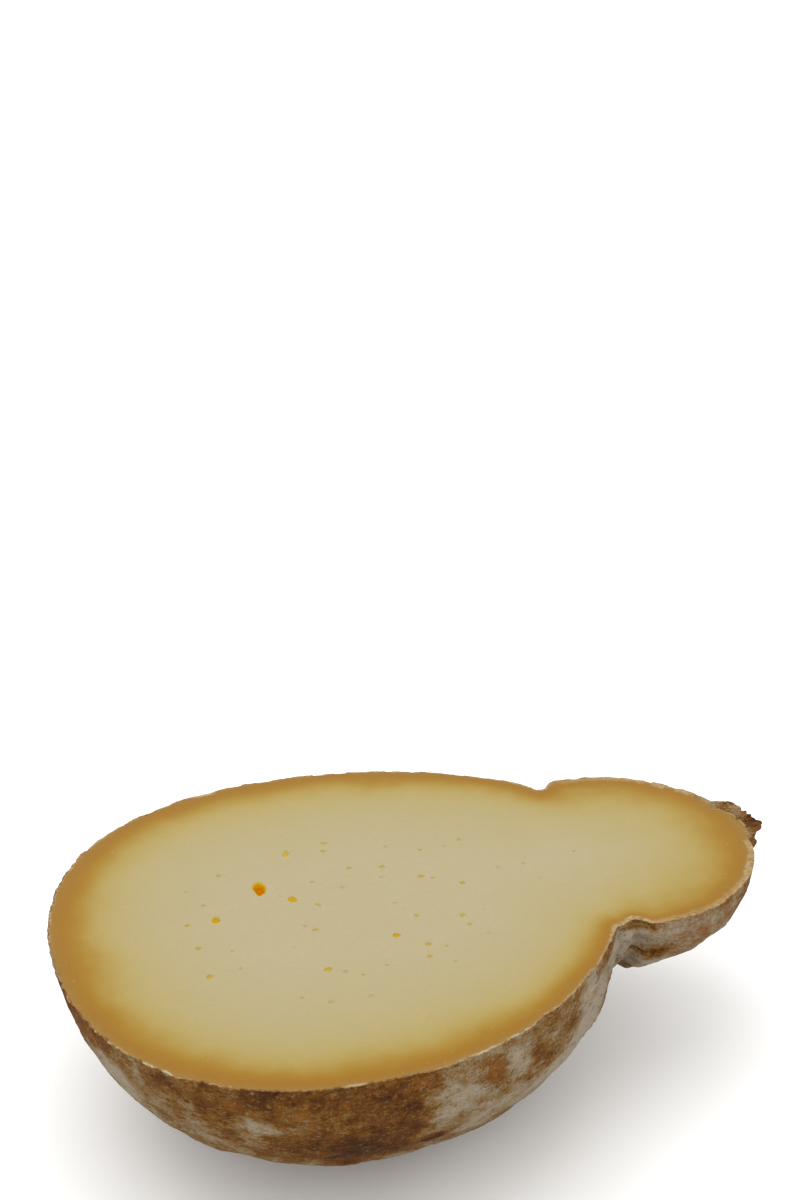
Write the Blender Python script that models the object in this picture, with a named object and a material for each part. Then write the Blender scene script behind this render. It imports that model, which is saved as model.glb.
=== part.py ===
"""Half of a cave-aged caciocavallo, a gourd-shaped cheese, cut lengthwise and lying on its rind.

The cheese aged hanging by its neck, so it has a round body, a tight neck, a small head and, at
the head's end, the knot that closed it. X runs along the gourd from its bottom end to the knot,
Y points to the far side, Z is up, and the knife's cut is the flat top. The origin is under the
middle of the cheese, on the surface that it lies on. Lengths are in metres and angles in radians.

While the shape is made, points are counted from the gourd's bottom end, on the cut.
"""

import collections
import math

import bmesh
import bpy
from mathutils import Matrix, Vector, noise

NAME = "caciocavallo_half"
CUTTERS = "cutters"

# The gourd's outline, measured along its axis from the bottom end and out from the axis.
BODY_RADIUS = 0.0843
WIDEST_AT = 0.0863
HEAD_RADIUS = 0.0454
HEAD_AT = 0.1914
HEAD_HALF_LENGTH = 0.0477
AXIS_OFFSET = 0.0040  # how far the outline's axis lies to the far side of the knife's line
GROOVE_DEPTH = 0.0031  # the groove that the string left round the neck
GROOVE_WIDTH = 0.0030
NECK_BLEND = 0.0008

# The body's ends and its neck differ a little on the far side, the near side and below. A power of
# 2 makes that end an ellipse, and more is blunter.
Edge = collections.namedtuple("Edge", "rear_power front_length front_power neck_at")
FAR = Edge(2.24, 0.1154, 1.89, 0.1844)
NEAR = Edge(2.24, 0.0998, 1.89, 0.1783)
UNDER = Edge(2.17, 0.0986, 2.28, 0.1787)

# How the underside hangs below the cut, each for a metre of depth or of radius.
Hang = collections.namedtuple("Hang", "depth lean sway")
BODY_HANG = Hang(depth=0.856, lean=0.135, sway=0.017)
HEAD_HANG = Hang(depth=0.863, lean=0.007, sway=0.112)
HANG_CHANGE = 0.005  # along the axis, how quickly one turns into the other at the neck
SECTION_POWER = 0.912  # 1 would make each section half an ellipse, and less is fuller
REST_DEPTH = 0.0018  # the belly has settled this much flatter where it lies

# The loft's sections, and the points on each from the far rim to the near one.
REAR_SECTIONS = 25
FRONT_SECTIONS = 20
NECK_SECTIONS = 14
HEAD_SECTIONS = 17
NECK_REACH = 0.0105  # the neck's closer sections lie this near to the groove
SECTION_POINTS = 42

# The rind's relief: sizes across the gourd and heights. Along the gourd its forms are longer.
LUMP_SIZE = 0.020
LUMP_HEIGHT = 0.0011
WRINKLE_SIZE = 0.0060
WRINKLE_HEIGHT = 0.0007
RELIEF_STRETCH = 2.0
TIP_FADE = 0.012  # the relief fades out this near the two ends

# The knot: lumps (along, across, half length, half width, half height) at the end of the head.
KNOT_LUMPS = (
    (0.2362, 0.0040, 0.0068, 0.0125, 0.0110),
    (0.2390, 0.0120, 0.0052, 0.0036, 0.0062),
    (0.2418, 0.0005, 0.0044, 0.0038, 0.0050),
)
KNOT_BELOW_CUT = 0.0004
CRAG_SIZE = 0.0034
CRAG_HEIGHT = 0.0013

# Eyes in the paste: (along, across, length, width, angle from the gourd's axis).
EYES = (
    (0.0711, 0.0235, 0.0082, 0.0042, math.radians(80)),
    (0.0790, 0.0140, 0.0048, 0.0034, math.radians(135)),
    (0.0525, 0.0118, 0.0040, 0.0031, math.radians(75)),
    (0.0858, 0.0405, 0.0056, 0.0024, math.radians(62)),
    (0.0865, 0.0080, 0.0030, 0.0018, math.radians(120)),
    (0.0785, -0.0255, 0.0031, 0.0024, math.radians(10)),
    (0.1043, -0.0166, 0.0029, 0.0028, 0.0),
    (0.1120, -0.0245, 0.0025, 0.0022, math.radians(20)),
    (0.1280, -0.0142, 0.0025, 0.0020, 0.0),
    (0.1350, 0.0026, 0.0025, 0.0022, 0.0),
    (0.0435, -0.0160, 0.0026, 0.0023, math.radians(60)),
    (0.1235, 0.0110, 0.0025, 0.0021, math.radians(30)),
)
EYE_DEPTH_SHARE = 0.55  # an eye's depth over its width

PIT_SPHERE_STEPS = 2
KNOT_SPHERE_STEPS = 4

# Every mesh has these two materials, in this order: (name, colour, roughness).
MATERIALS = (
    ("rind", (0.36, 0.27, 0.17, 1.0), 0.75),
    ("paste", (0.60, 0.44, 0.19, 1.0), 0.45),
)
RIND, PASTE = range(2)


def clear_scene():
    for obj in list(bpy.data.objects):
        bpy.data.objects.remove(obj, do_unlink=True)


def new_collection(name):
    found = bpy.data.collections.new(name)
    bpy.context.scene.collection.children.link(found)
    return found


def principled(name, colour, roughness):
    material = bpy.data.materials.new(name)
    material.use_nodes = True
    shader = material.node_tree.nodes["Principled BSDF"]
    shader.inputs["Base Color"].default_value = colour
    shader.inputs["Roughness"].default_value = roughness
    material.diffuse_color = colour
    return material


def smooth_maximum(first, second, blend):
    share = min(max(0.5 + 0.5 * (first - second) / blend, 0.0), 1.0)
    return second * (1 - share) + first * share + blend * share * (1 - share)


def superellipse(share, power):
    return max(0.0, 1 - min(abs(share), 1.0) ** power) ** (1 / power)


def radius(along, edge):
    """The gourd's outline: body and head joined, with the string's groove between them."""
    if along < WIDEST_AT:
        body = BODY_RADIUS * superellipse((WIDEST_AT - along) / WIDEST_AT, edge.rear_power)
    else:
        body = BODY_RADIUS * superellipse((along - WIDEST_AT) / edge.front_length, edge.front_power)
    head = HEAD_RADIUS * superellipse((along - HEAD_AT) / HEAD_HALF_LENGTH, 2)
    groove = GROOVE_DEPTH * math.exp(-(((along - edge.neck_at) / GROOVE_WIDTH) ** 2))
    return max(0.0, smooth_maximum(body, head, NECK_BLEND) - groove)


def hang_at(along):
    """How the underside hangs at this place: like the body's, then like the head's."""
    share = 1 / (1 + math.exp(-(along - UNDER.neck_at) / HANG_CHANGE))
    return Hang(*(body * (1 - share) + head * share for body, head in zip(BODY_HANG, HEAD_HANG)))


def relief(point, along):
    """How far the rind stands out at a point: low lumps and finer wrinkles that run lengthwise."""
    stretched = Vector((point.x / RELIEF_STRETCH, point.y, point.z))
    lumps = noise.noise(stretched / LUMP_SIZE) * LUMP_HEIGHT
    wrinkles = noise.noise(stretched / WRINKLE_SIZE) * WRINKLE_HEIGHT
    to_end = min(along, HEAD_AT + HEAD_HALF_LENGTH - along)
    return (lumps + wrinkles) * min(1.0, to_end / TIP_FADE)


def section_point(along, turn):
    """A point of the rind. turn is 0 at the far rim, a quarter turn below, and a half at the near rim."""
    far = radius(along, FAR)
    near = radius(along, NEAR)
    hang = hang_at(along)
    down = radius(along, UNDER) * hang.depth * math.sin(turn) ** SECTION_POWER
    across = AXIS_OFFSET + (far - near) / 2 + math.cos(turn) * (far + near) / 2
    point = Vector((along + hang.lean * down, across + hang.sway * down, -down))
    outward = Vector((0, math.cos(turn), -math.sin(turn)))
    return point + outward * relief(point, along)


def spaced(start, end, count):
    return [start + (end - start) * step / count for step in range(count)]


def section_places():
    """Places along the axis, closer together at the ends and at the neck. The two ends aren't among them."""
    neck_start = UNDER.neck_at - NECK_REACH
    neck_end = UNDER.neck_at + NECK_REACH
    rear = [
        WIDEST_AT * (1 - math.cos(math.pi / 2 * step / REAR_SECTIONS))
        for step in range(1, REAR_SECTIONS)
    ]
    front = spaced(WIDEST_AT, neck_start, FRONT_SECTIONS)
    neck = spaced(neck_start, neck_end, NECK_SECTIONS)
    first_turn = math.asin((neck_end - HEAD_AT) / HEAD_HALF_LENGTH)
    head = [
        HEAD_AT + HEAD_HALF_LENGTH * math.sin(angle)
        for angle in spaced(first_turn, math.pi / 2, HEAD_SECTIONS)
    ]
    return rear + front + neck + head


def loft_gourd(bm):
    """The rind, lofted from section to section between the two ends, and the flat cut across its rim."""
    sections = []
    for along in section_places():
        turns = [math.pi * step / (SECTION_POINTS - 1) for step in range(SECTION_POINTS)]
        points = [section_point(along, turn) for turn in turns]
        points[0].z = 0.0
        points[-1].z = 0.0
        sections.append([bm.verts.new(point) for point in points])
    for before, after in zip(sections, sections[1:]):
        for step in range(SECTION_POINTS - 1):
            bm.faces.new((before[step], before[step + 1], after[step + 1], after[step]))
    bottom_end = bm.verts.new((0, AXIS_OFFSET, 0))
    head_end = bm.verts.new((HEAD_AT + HEAD_HALF_LENGTH, AXIS_OFFSET, 0))
    for step in range(SECTION_POINTS - 1):
        bm.faces.new((bottom_end, sections[0][step + 1], sections[0][step]))
        bm.faces.new((head_end, sections[-1][step], sections[-1][step + 1]))
    far_rim = [section[0] for section in sections]
    near_rim = [section[-1] for section in sections]
    cut_face = bm.faces.new([bottom_end] + near_rim + [head_end] + far_rim[::-1])
    cut_face.material_index = PASTE
    bmesh.ops.recalc_face_normals(bm, faces=bm.faces)


def cut_level(bm, height, clear_above):
    """Cuts the closed mesh level at this height, and closes it with a flat face."""
    cut = bmesh.ops.bisect_plane(
        bm,
        geom=bm.verts[:] + bm.edges[:] + bm.faces[:],
        plane_co=(0, 0, height),
        plane_no=(0, 0, 1),
        clear_outer=clear_above,
        clear_inner=not clear_above,
    )
    edges = [item for item in cut["geom_cut"] if isinstance(item, bmesh.types.BMEdge)]
    bmesh.ops.contextual_create(bm, geom=edges)
    bmesh.ops.recalc_face_normals(bm, faces=bm.faces)


def new_object(name, bm, collection, materials):
    mesh = bpy.data.meshes.new(name)
    bm.to_mesh(mesh)
    bm.free()
    for material in materials:
        mesh.materials.append(material)
    obj = bpy.data.objects.new(name, mesh)
    collection.objects.link(obj)
    return obj


def make_gourd(collection, materials):
    bm = bmesh.new()
    loft_gourd(bm)
    deepest = min(vertex.co.z for vertex in bm.verts)
    cut_level(bm, deepest + REST_DEPTH, clear_above=False)
    return new_object(NAME, bm, collection, materials)


def make_lump(index, along, across, half_length, half_width, half_height):
    """One craggy lump of the knot, cut level with the paste."""
    bm = bmesh.new()
    bmesh.ops.create_icosphere(bm, subdivisions=KNOT_SPHERE_STEPS, radius=1)
    for vertex in bm.verts:
        outward = vertex.co.normalized()
        sized = Vector((outward.x * half_length, outward.y * half_width, outward.z * half_height))
        at = sized + Vector((along, across, 0))
        crag = noise.noise(at / CRAG_SIZE + Vector((0, 0, 7.0 * index))) * CRAG_HEIGHT
        vertex.co = at + outward * crag
    cut_level(bm, -KNOT_BELOW_CUT, clear_above=True)
    return bm


def make_eye_cutter(along, across, length, width, angle):
    """An uneven pit: a squashed ball whose middle lies on the cut."""
    bm = bmesh.new()
    bmesh.ops.create_icosphere(bm, subdivisions=PIT_SPHERE_STEPS, radius=0.5)
    size = Vector((length, width, 2 * width * EYE_DEPTH_SHARE))
    turn = Matrix.Rotation(angle, 3, "Z")
    for vertex in bm.verts:
        uneven = 1 + 0.25 * noise.noise(vertex.co * 2 + Vector((along, across, 0)) * 1000)
        sized = Vector(a * b for a, b in zip(vertex.co, size)) * uneven
        vertex.co = turn @ sized + Vector((along, across, 0))
    for face in bm.faces:
        face.material_index = PASTE
    return bm


def apply_boolean(obj, operation, collection):
    """Joins or cuts with every object of the collection at once, then removes them."""
    modifier = obj.modifiers.new(operation.lower(), "BOOLEAN")
    modifier.operation = operation
    modifier.operand_type = "COLLECTION"
    modifier.collection = collection
    bpy.context.view_layer.update()
    evaluated = obj.evaluated_get(bpy.context.evaluated_depsgraph_get())
    mesh = bpy.data.meshes.new_from_object(evaluated)
    obj.modifiers.remove(modifier)
    obj.data = mesh
    for cutter in list(collection.objects):
        bpy.data.objects.remove(cutter, do_unlink=True)


def add_cutter(name, bm, cutters, materials):
    cutter = new_object(name, bm, cutters, materials)
    cutter.hide_render = True
    cutter.display_type = "WIRE"


def join_knot(gourd, cutters, materials):
    for index, lump in enumerate(KNOT_LUMPS):
        add_cutter(f"knot_{index}", make_lump(index, *lump), cutters, materials)
    apply_boolean(gourd, "UNION", cutters)


def cut_eyes(gourd, cutters, materials):
    for index, eye in enumerate(EYES):
        add_cutter(f"eye_{index}", make_eye_cutter(*eye), cutters, materials)
    apply_boolean(gourd, "DIFFERENCE", cutters)


def stand_on_origin(obj):
    """Moves the mesh so that the origin is under its middle, at the level that it rests on."""
    points = [vertex.co for vertex in obj.data.vertices]
    low = [min(point[axis] for point in points) for axis in range(3)]
    high = [max(point[axis] for point in points) for axis in range(3)]
    middle = Vector(((low[0] + high[0]) / 2, (low[1] + high[1]) / 2, low[2]))
    obj.data.transform(Matrix.Translation(-middle))


def main():
    clear_scene()
    cheese = new_collection(NAME + "_parts")
    cutters = new_collection(CUTTERS)
    cutters.hide_render = True
    materials = [principled(*values) for values in MATERIALS]
    gourd = make_gourd(cheese, materials)
    join_knot(gourd, cutters, materials)
    cut_eyes(gourd, cutters, materials)
    stand_on_origin(gourd)
    gourd.data.shade_smooth()
    gourd.data.set_sharp_from_angle(angle=math.radians(40))


main()
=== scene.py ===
"""The looks of half a cave-aged caciocavallo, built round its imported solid.

Three pieces replace the solid. The paste is the cheese itself, with the flat cut and the eyes in it.
The rind is a thin closed skin round the paste, and its edge crumbled where the knife went through.
The knot is the craggy lump that closed the head. All three follow the same gourd form.

While shapes are made, points are counted as in the solid's design: x from the gourd's bottom end
along its axis, y to the far side, z up, and the cut at z = 0. Lengths are in metres. A place on the
rind is given by its share of the outline's length from the bottom end, and by its turn round the
axis: 0 at the far rim, a quarter turn below, and a half turn at the near rim.
"""

import collections
import json
import math

import bmesh
import bpy
import numpy as np
from mathutils import Matrix, Vector, geometry, kdtree, noise


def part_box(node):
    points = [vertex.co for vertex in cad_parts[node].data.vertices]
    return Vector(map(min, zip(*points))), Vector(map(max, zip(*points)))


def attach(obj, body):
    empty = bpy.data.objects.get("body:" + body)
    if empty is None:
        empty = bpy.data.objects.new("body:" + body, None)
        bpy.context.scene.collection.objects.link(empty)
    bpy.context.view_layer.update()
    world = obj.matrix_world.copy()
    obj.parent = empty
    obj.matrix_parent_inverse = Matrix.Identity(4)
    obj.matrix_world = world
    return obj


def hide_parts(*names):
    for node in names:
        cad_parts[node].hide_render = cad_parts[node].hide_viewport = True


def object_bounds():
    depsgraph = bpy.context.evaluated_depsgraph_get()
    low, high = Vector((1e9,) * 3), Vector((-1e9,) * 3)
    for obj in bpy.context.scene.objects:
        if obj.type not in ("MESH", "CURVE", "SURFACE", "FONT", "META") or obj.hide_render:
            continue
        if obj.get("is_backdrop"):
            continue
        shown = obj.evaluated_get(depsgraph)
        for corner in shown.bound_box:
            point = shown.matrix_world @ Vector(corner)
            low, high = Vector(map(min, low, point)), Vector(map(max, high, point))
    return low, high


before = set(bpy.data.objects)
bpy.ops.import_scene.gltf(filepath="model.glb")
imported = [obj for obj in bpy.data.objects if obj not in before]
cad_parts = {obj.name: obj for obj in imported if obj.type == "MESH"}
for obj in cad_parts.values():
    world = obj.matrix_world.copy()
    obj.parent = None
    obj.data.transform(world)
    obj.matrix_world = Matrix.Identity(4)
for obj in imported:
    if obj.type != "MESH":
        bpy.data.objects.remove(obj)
cad_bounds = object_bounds()

NODE = "caciocavallo_half"
BODY = "root"
MM = 0.001

# The gourd's form, with the same values as the solid's.
BODY_RADIUS = 0.0843
WIDEST_AT = 0.0863
HEAD_RADIUS = 0.0454
HEAD_AT = 0.1914
HEAD_HALF_LENGTH = 0.0477
HEAD_END = HEAD_AT + HEAD_HALF_LENGTH
AXIS_OFFSET = 0.0040
GROOVE_DEPTH = 0.0031
GROOVE_WIDTH = 0.0030
NECK_BLEND = 0.0008
Edge = collections.namedtuple("Edge", "rear_power front_length front_power neck_at")
FAR = Edge(2.24, 0.1154, 1.89, 0.1844)
NEAR = Edge(2.24, 0.0998, 1.89, 0.1783)
UNDER = Edge(2.17, 0.0986, 2.28, 0.1787)
BODY_HANG = np.array((0.856, 0.135, 0.017))  # depth, lean and sway of the underside
HEAD_HANG = np.array((0.863, 0.007, 0.112))
HANG_CHANGE = 0.005
SECTION_POWER = 0.912
LUMP_SIZE = 0.020
LUMP_HEIGHT = 0.0011
WRINKLE_SIZE = 0.0060
WRINKLE_HEIGHT = 0.0007
RELIEF_STRETCH = 2.0
TIP_FADE = 0.012

# Where the counting starts, in the frame, and the level of the floor from the cut.
low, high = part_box(NODE)
CUT_ORIGIN = Vector((low.x, (low.y + high.y) / 2 - AXIS_OFFSET, high.z))
FLOOR = low.z - high.z

# The two ends are on the cut, where all the turns meet.
BOTTOM_END = np.array((0, AXIS_OFFSET, 0))
TOP_END = np.array((HEAD_END, AXIS_OFFSET, 0))

# The skin's grid: places from end to end, and turns from the far rim to the near one. The rows next to
# the rim have FINE points for each of the grid's, and the hidden inner side has one for each COARSE.
PLACES = 300
TURNS = 216
FINE = 3
COARSE = 3
COARSE_TURNS = 60
# The fine rows: (turn from the rim, how far its colour goes towards the crumbly edge's).
RIM_ROWS = ((0.0, 0.6), (0.0042, 0.2), (0.0088, 0.0), (0.0142, 0.0))
OUTLINE_SAMPLES = 4000
SHARE_SAMPLES = 2000
# Places are closer at the neck, within this share of the outline.
NECK_CLOSENESS = 1.3
NECK_REACH = 0.045

SHARP_ANGLE = math.radians(55)
RIND_THICKNESS = 0.0026
# How deep the paste is under the rind's outer surface: at the rim, and everywhere else.
PASTE_INSET = 0.00045
PASTE_DEPTH = 0.0014
# How much deeper all that is hidden lies under the creases at the neck.
CREASE_ROOM = 0.0020


def smooth_maximum(first, second, blend):
    share = np.clip(0.5 + 0.5 * (first - second) / blend, 0, 1)
    return second * (1 - share) + first * share + blend * share * (1 - share)


def superellipse(share, power):
    return np.clip(1 - np.clip(np.abs(share), 0, 1) ** power, 0, None) ** (1 / power)


def smooth_step(value, start, end):
    share = np.clip((value - start) / (end - start), 0, 1)
    return share * share * (3 - 2 * share)


def noise_at(points, size, seed=0.0):
    """Perlin noise at each point, about -0.7 to 0.7, with forms of this size."""
    return np.array([noise.noise(point) for point in (points / size + seed).tolist()])


def noises_at(points, *parts):
    """Some noises added up, each (size, seed, amount)."""
    return sum(noise_at(points, size, seed) * amount for size, seed, amount in parts)


def radius(along, edge):
    """The gourd's outline: body and head joined, with the string's groove between them."""
    rear = superellipse((WIDEST_AT - along) / WIDEST_AT, edge.rear_power)
    front = superellipse((along - WIDEST_AT) / edge.front_length, edge.front_power)
    body = BODY_RADIUS * np.where(along < WIDEST_AT, rear, front)
    head = HEAD_RADIUS * superellipse((along - HEAD_AT) / HEAD_HALF_LENGTH, 2)
    groove = GROOVE_DEPTH * np.exp(-(((along - edge.neck_at) / GROOVE_WIDTH) ** 2))
    return np.clip(smooth_maximum(body, head, NECK_BLEND) - groove, 0, None)


def outline_lengths():
    """Places along the axis, and how far each is from the bottom end along the gourd's outline."""
    along = HEAD_END * (1 - np.cos(np.linspace(0, math.pi, OUTLINE_SAMPLES))) / 2
    outline = (radius(along, FAR) + radius(along, NEAR)) / 2
    steps = np.hypot(np.diff(along), np.diff(outline))
    return along, np.concatenate([[0], np.cumsum(steps)])


OUTLINE_ALONG, OUTLINE_LENGTHS = outline_lengths()
OUTLINE_LENGTH = OUTLINE_LENGTHS[-1]


def along_at(share):
    """The place along the axis at this share of the outline's length from the bottom end."""
    return np.interp(share * OUTLINE_LENGTH, OUTLINE_LENGTHS, OUTLINE_ALONG)


def share_at(along):
    return np.interp(along, OUTLINE_ALONG, OUTLINE_LENGTHS) / OUTLINE_LENGTH


def shares(steps):
    """Shares of the outline at this many steps, closer at the neck, without the two ends."""
    share = np.linspace(0, 1, SHARE_SAMPLES)
    closeness = 1 + NECK_CLOSENESS * np.exp(-(((share - share_at(UNDER.neck_at)) / NECK_REACH) ** 2))
    reached = np.cumsum(closeness) / closeness.sum()
    return np.interp(np.arange(1, steps) / steps, reached, share)


def form(share, turn):
    """Points of the smooth gourd."""
    along = along_at(share)
    far, near, under = (radius(along, edge) for edge in (FAR, NEAR, UNDER))
    headwards = (1 / (1 + np.exp(-(along - UNDER.neck_at) / HANG_CHANGE)))[..., None]
    hang = BODY_HANG * (1 - headwards) + HEAD_HANG * headwards
    down = under * hang[..., 0] * np.clip(np.sin(turn), 0, None) ** SECTION_POWER
    across = AXIS_OFFSET + (far - near) / 2 + np.cos(turn) * (far + near) / 2
    return np.stack([along + hang[..., 1] * down, across + hang[..., 2] * down, -down], axis=-1)


def form_normals(share, turn):
    """The smooth gourd's outward normals, away from its two ends."""
    step = 2e-4
    ahead = form(np.clip(share + step, 0, 1), turn) - form(np.clip(share - step, 0, 1), turn)
    around = form(share, turn + step) - form(share, turn - step)
    normals = np.cross(ahead, around)
    return normals / np.linalg.norm(normals, axis=-1, keepdims=True)


# -------- the skin's relief

# Radii that stand for the whole rind, and for its neck, where turns are made into lengths.
GRAIN_RADIUS = 0.070
NECK_RADIUS = 0.037
NECK_FADE = 0.017
KNOT_FADE = 0.010
# Relief that's drawn out along the fibres: (stretch, size, seed) and its heights in millimetres:
# everywhere, added at the neck and added at the knot. These are the fibres and the pleats.
GRAIN_RELIEF = ((3, 0.0019, 3.0, 0.18, 0.45, 0.0), (5, 0.0075, 8.0, 0.0, 0.7, 1.8))
# Noises are (size, seed, amount), here in millimetres.
HUMPS = (0.0085, 5.0, 0.25)
GRIT = (0.0019, 1.0, 0.18)
DENTS = (0.0036, 11.0, 1.0)
# Folds of the skin where the string held it, each a line between two places on the rind:
# (share of the outline and turn in degrees at its start, the same at its end, half width and height in
# millimetres). A height below 0 makes it a crease. A fold fades slower beyond its ends than sideways.
FOLDS = (
    (0.716, 157.0, 0.742, 158.5, 0.8, -1.3),
    (0.742, 158.5, 0.780, 160.5, 0.8, -1.1),
    (0.706, 167.0, 0.745, 170.5, 0.9, -1.1),
    (0.702, 162.0, 0.736, 165.0, 1.1, 0.9),
    (0.700, 172.0, 0.748, 175.0, 1.0, 0.7),
    (0.706, 146.0, 0.770, 149.0, 1.6, 1.0),
    (0.740, 164.5, 0.790, 166.5, 1.3, -0.7),
    (0.655, 173.0, 0.694, 170.0, 0.9, -0.8),
    (0.640, 164.0, 0.690, 160.5, 1.1, -0.9),
    (0.700, 139.0, 0.745, 136.0, 1.2, -1.2),
    (0.645, 151.0, 0.695, 148.0, 1.2, 0.8),
)


def grain_points(share, turn):
    """The skin's points on a straight cylinder, where its fibres run along x."""
    return np.stack(
        [share * OUTLINE_LENGTH, GRAIN_RADIUS * np.cos(turn), GRAIN_RADIUS * np.sin(turn)], axis=-1
    )


def at_neck(share):
    """How near the string's groove each place is, from 0 to 1."""
    return np.exp(-(((share - share_at(UNDER.neck_at)) * OUTLINE_LENGTH / NECK_FADE) ** 2))


def solid_relief(points, along):
    """The low lumps and wrinkles that the solid has too."""
    stretched = points / np.array((RELIEF_STRETCH, 1, 1))
    lumps = noise_at(stretched, LUMP_SIZE) * LUMP_HEIGHT
    wrinkles = noise_at(stretched, WRINKLE_SIZE) * WRINKLE_HEIGHT
    to_end = np.minimum(along, HEAD_END - along)
    return (lumps + wrinkles) * np.clip(to_end / TIP_FADE, 0, 1)


def fold_relief(share, turn):
    """How far the folds at the neck stand out at each place."""
    relief = np.zeros_like(share)
    for share_0, turn_0, share_1, turn_1, half_width, height in FOLDS:
        start = np.array((share_0 * OUTLINE_LENGTH, math.radians(turn_0) * NECK_RADIUS))
        line = np.array((share_1 * OUTLINE_LENGTH, math.radians(turn_1) * NECK_RADIUS)) - start
        length = np.hypot(*line)
        offset = np.stack([share * OUTLINE_LENGTH, turn * NECK_RADIUS], axis=-1) - start
        along = offset @ line / length
        across = offset @ np.array((-line[1], line[0])) / length
        beyond = np.maximum(np.maximum(-along, along - length), 0)
        distance = np.hypot(across, beyond * 0.5) / (half_width * MM)
        relief += np.exp(-(distance**2)) * height * MM
    return relief


def fine_relief(points, share, turn):
    """What the rind has besides: fibres and pleats that gather at the neck, grit, dents and folds."""
    grain = grain_points(share, turn)
    neck = at_neck(share)
    to_knot = np.exp((share - 1) * OUTLINE_LENGTH / KNOT_FADE)
    relief = np.zeros_like(share)
    for stretch, size, seed, everywhere, neck_height, knot_height in GRAIN_RELIEF:
        height = everywhere + neck_height * neck + knot_height * to_knot
        relief += noise_at(grain / np.array((stretch, 1, 1)), size, seed) * height * MM
    for kind in (HUMPS, GRIT):
        relief += noises_at(points, kind) * MM
    relief -= smooth_step(noises_at(points, DENTS), 0.26, 0.50) * 0.32 * MM
    return relief + fold_relief(share, turn)


def skin(share, turn):
    """(points, normals) of the rind's outer surface, away from the gourd's two ends."""
    smooth = form(share, turn)
    normals = form_normals(share, turn)
    radial = np.stack([np.zeros_like(turn), np.cos(turn), -np.sin(turn)], axis=-1)
    points = smooth + radial * solid_relief(smooth, along_at(share))[:, None]
    points += normals * fine_relief(smooth, share, turn)[:, None]
    return points, normals


def under_skin(share, turn, depth):
    """Points this far under the rind's outer surface, and farther under the creases of the neck."""
    points, normals = skin(share, turn)
    from_cut = np.abs(np.sin(turn))
    depth = depth + at_neck(share) * CREASE_ROOM * np.clip(from_cut * 8, 0, 1)
    return points - normals * depth[:, None]


# -------- the skin's tones

# Where the rind is browner (more than 0) or greyer, more ochre or more mouldy than usual. Each patch:
# (share of the outline, turn in degrees, half length and half width in millimetres, brown, ochre, pale).
PATCHES = (
    (0.060, 165, 16, 22, 0.2, 0.28, -0.2),
    (0.100, 151, 18, 9, -0.3, -0.3, 0.25),
    (0.095, 172, 9, 8, 0.18, 0.3, -0.1),
    (0.140, 170, 10, 9, -0.08, 0, 0.08),
    (0.172, 171, 4, 8, 0.15, 0.35, 0),
    (0.205, 175, 12, 5, 0.1, 0.05, -0.1),
    (0.195, 162, 12, 10, 0.05, 0, 0),
    (0.236, 169, 8, 9, 0.28, 0.2, -0.4),
    (0.272, 166, 6, 5, -0.28, -0.1, 0.1),
    (0.310, 178, 34, 7, 0.25, 0.22, -0.4),
    (0.310, 167, 10, 11, 0.2, 0.28, -0.3),
    (0.345, 160, 12, 9, 0.25, 0.05, -0.2),
    (0.385, 168, 14, 13, 0.38, -0.1, -0.4),
    (0.372, 166, 5, 5, 0, 0.35, 0),
    (0.372, 153, 20, 10, 0.32, 0, -0.2),
    (0.415, 177, 6, 4, 0, 0.35, 0),
    (0.452, 168, 9, 15, -0.3, 0, 0.12),
    (0.430, 154, 4, 4, 0.5, 0, -0.3),
    (0.496, 172, 6, 9, 0.22, 0.32, -0.3),
    (0.525, 172, 5, 7, -0.25, 0, 0.12),
    (0.548, 167, 6, 6, 0.18, 0, -0.2),
    (0.565, 175, 5, 4, 0, 0.2, 0),
    (0.592, 171, 4, 7, 0.12, 0, -0.1),
    (0.560, 153, 40, 11, -0.28, -0.2, 0.2),
    (0.645, 166, 18, 16, -0.28, -0.1, 0.18),
    (0.672, 177.5, 9, 2.4, 0.15, 0.4, 0),
    (0.730, 178, 8, 1.6, 0.2, -0.25, -0.1),
    (0.722, 167, 9, 7, -0.38, -0.1, 0.25),
    # The next two narrow brown lines lie in the crease at the neck: painted shade.
    (0.737, 158, 8, 1.2, 0.34, -0.2, -0.3),
    (0.765, 160.5, 7, 1.4, 0.22, -0.1, -0.2),
    (0.737, 145, 13, 9, -0.34, 0.1, 0.3),
    (0.785, 173, 11, 7, -0.2, 0.26, -0.1),
    (0.800, 158, 9, 7, -0.06, 0.24, -0.1),
    (0.845, 170, 14, 12, -0.15, 0.32, -0.22),
)
USUAL_TONE = (0.36, 0.28, 0.22)
# How the patches' outlines wander lengthwise and sideways, in millimetres, and less under WARPED_SIZE.
PATCH_WARP = ((0.006, 51.0, 5), (0.0024, 52.0, 2.4))
PATCH_DRIFT = ((0.006, 57.0, 5), (0.0024, 58.0, 2.4))
WARPED_SIZE = 8
# On the hidden side broad noise takes over: from which turns in degrees, and for brown, ochre and pale.
BROAD_TURNS = (112, 138)
BROAD_NOISES = ((0.015, 61.0, 0.55), (0.015, 64.0, 0.7), (0.015, 67.0, 0.55))
# Pale chips on the rim: (along, across, half length) in millimetres. They reach CHIP_DEPTH down.
RIM_CHIPS = (
    (67.8, -77.8, 3.4),
    (109.0, -80.0, 5.0),
    (122.0, -78.0, 6.0),
    (15.8, -49.4, 1.6),
    (20.7, -54.6, 2.0),
    (70.0, 88.0, 4.0),
)
CHIP_DEPTH = 1.2


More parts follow.
